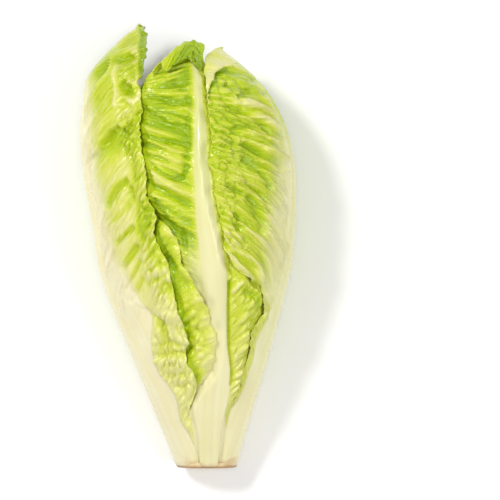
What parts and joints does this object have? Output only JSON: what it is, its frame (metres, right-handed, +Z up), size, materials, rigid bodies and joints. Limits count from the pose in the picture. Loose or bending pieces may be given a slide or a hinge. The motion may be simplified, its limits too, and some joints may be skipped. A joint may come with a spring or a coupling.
{
  "type": "romaine lettuce head",
  "caption": "Trimmed romaine lettuce heart lying on its back: overlapping ribbed leaves with waved margins round a short cut stem, tips folding in over the heart.",
  "frame": {"origin": "middle of the flat spot under the back leaf's rib, on the surface that the head lies on, 105 mm from the cut butt", "axes": "+Y along the head from the cut butt to the leaf tips, +Z up from the surface, +X across the head"},
  "size_m": [0.1139, 0.2365, 0.0875],
  "materials": {
    "leaf": "satin",
    "stem": "matte"
  },
  "bodies": {
    "root": {"leaf_back": "leaf", "leaf_left": "leaf", "leaf_right": "leaf", "leaf_left_inner": "leaf", "leaf_front": "leaf", "heart_back_left": "leaf", "heart_back_right": "leaf", "heart_front_left": "leaf", "heart_front_right": "leaf", "heart_back": "leaf", "heart_front": "leaf", "stem": "stem"}
  },
  "joints": []
}
